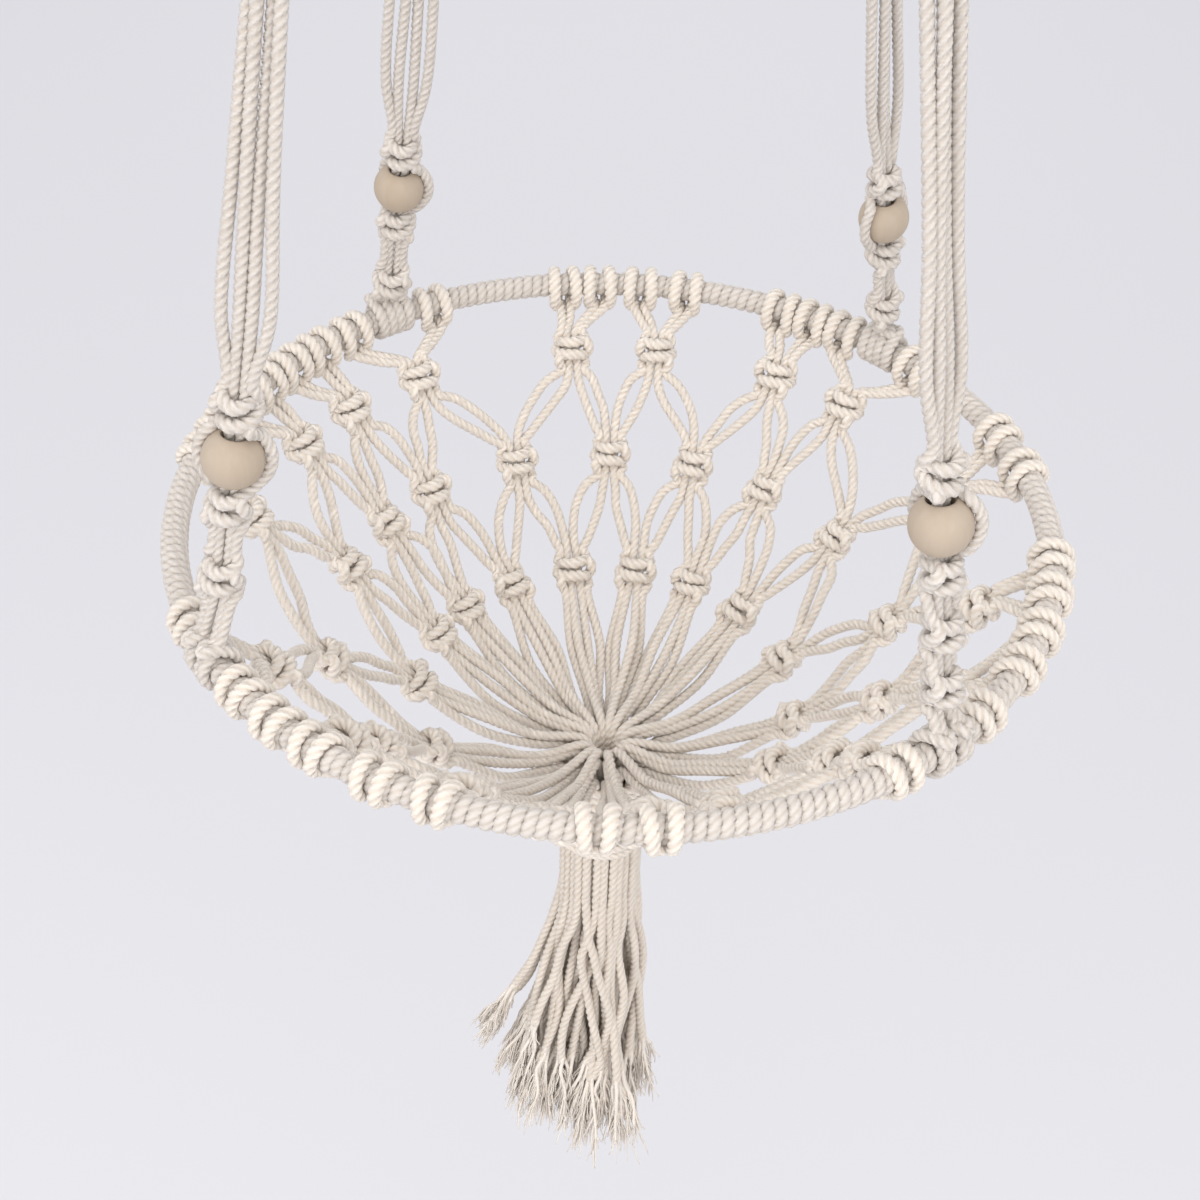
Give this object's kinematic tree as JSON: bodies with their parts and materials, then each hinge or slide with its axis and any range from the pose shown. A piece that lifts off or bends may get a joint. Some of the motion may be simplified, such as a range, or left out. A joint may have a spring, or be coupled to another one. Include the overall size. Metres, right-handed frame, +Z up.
{
  "type": "hanging macrame planter",
  "caption": "Hanging macrame planter: a cotton-wound hoop on beaded cord straps under a wooden ring, with an open knotted net bowl for a pot and a tassel below.",
  "frame": {"origin": "the point at the top of the hanging ring's eye, where a hook carries the planter", "axes": "+Z up; -Y is the front, the side the flat of the hanging ring faces; +X to the right seen from the front"},
  "size_m": [0.3403, 0.3422, 1.3003],
  "materials": {
    "cotton_cord": "natural unbleached three-strand cotton rope, matt and slightly hairy",
    "cotton_net": "natural unbleached three-strand cotton rope, a little warmer",
    "tassel_cotton": "the same rope hanging free, unravelled at its ends",
    "bead_wood": "pale raw wood, sanded, unvarnished",
    "hoop_steel": "bare steel rod, wholly covered"
  },
  "bodies": {
    "ring": {"hanging_ring": "bead_wood"},
    "planter": {"top_loops": "cotton_cord", "gathering_wrap": "cotton_cord", "hoop_rod": "hoop_steel", "hoop_winding": "cotton_cord", "strap_cord_back_right_1": "cotton_cord", "strap_cord_back_right_2": "cotton_cord", "strap_cord_back_right_3": "cotton_cord", "strap_cord_back_right_4": "cotton_cord", "strap_knots_back_right": "cotton_cord", "strap_cord_back_left_1": "cotton_cord", "strap_cord_back_left_2": "cotton_cord", "strap_cord_back_left_3": "cotton_cord", "strap_cord_back_left_4": "cotton_cord", "strap_knots_back_left": "cotton_cord", "strap_cord_front_left_1": "cotton_cord", "strap_cord_front_left_2": "cotton_cord", "strap_cord_front_left_3": "cotton_cord", "strap_cord_front_left_4": "cotton_cord", "strap_knots_front_left": "cotton_cord", "strap_cord_front_right_1": "cotton_cord", "strap_cord_front_right_2": "cotton_cord", "strap_cord_front_right_3": "cotton_cord", "strap_cord_front_right_4": "cotton_cord", "strap_knots_front_right": "cotton_cord", "net_section_01": "cotton_net", "net_section_02": "cotton_net", "net_section_03": "cotton_net", "net_section_04": "cotton_net", "net_section_05": "cotton_net", "net_section_06": "cotton_net", "net_section_07": "cotton_net", "net_section_08": "cotton_net", "net_section_09": "cotton_net", "net_section_10": "cotton_net", "net_section_11": "cotton_net", "net_section_12": "cotton_net", "net_section_13": "cotton_net", "net_section_14": "cotton_net", "net_section_15": "cotton_net", "net_section_16": "cotton_net", "bottom_tie": "cotton_net"},
    "tassel_neck_body": {"tassel_neck": "tassel_cotton"},
    "tassel": {"tassel_skirt": "tassel_cotton"},
    "bead_back_right_body": {"bead_back_right": "bead_wood"},
    "bead_back_left_body": {"bead_back_left": "bead_wood"},
    "bead_front_left_body": {"bead_front_left": "bead_wood"},
    "bead_front_right_body": {"bead_front_right": "bead_wood"}
  },
  "joints": [
    {"name": "planter_swing", "type": "hinge", "parent": "ring", "child": "planter", "pos_m": [0, 0, -0.04675], "axis": [1, 0, 0], "range_deg": [-45, 45]},
    {"name": "tassel_sway_front", "type": "hinge", "parent": "planter", "child": "tassel_neck_body", "pos_m": [0, 0, -1.0819], "axis": [1, 0, 0], "range_deg": [-25, 25]},
    {"name": "tassel_sway_side", "type": "hinge", "parent": "tassel_neck_body", "child": "tassel", "pos_m": [0, 0, -1.1058], "axis": [0, 1, 0], "range_deg": [-25, 25]},
    {"name": "bead_back_right_spin", "type": "hinge", "parent": "planter", "child": "bead_back_right_body", "pos_m": [0.10179, 0.10786, -0.81739], "axis": [-0.1399, -0.1448, 0.9795], "continuous": true},
    {"name": "bead_back_left_spin", "type": "hinge", "parent": "planter", "child": "bead_back_left_body", "pos_m": [-0.09202, 0.11674, -0.81733], "axis": [0.1266, -0.1503, 0.9805], "continuous": true},
    {"name": "bead_front_left_spin", "type": "hinge", "parent": "planter", "child": "bead_front_left_body", "pos_m": [-0.11908, -0.08457, -0.80663], "axis": [0.1662, 0.1145, 0.9794], "continuous": true},
    {"name": "bead_front_right_spin", "type": "hinge", "parent": "planter", "child": "bead_front_right_body", "pos_m": [0.09727, -0.10843, -0.80263], "axis": [-0.1367, 0.1418, 0.9804], "continuous": true}
  ]
}
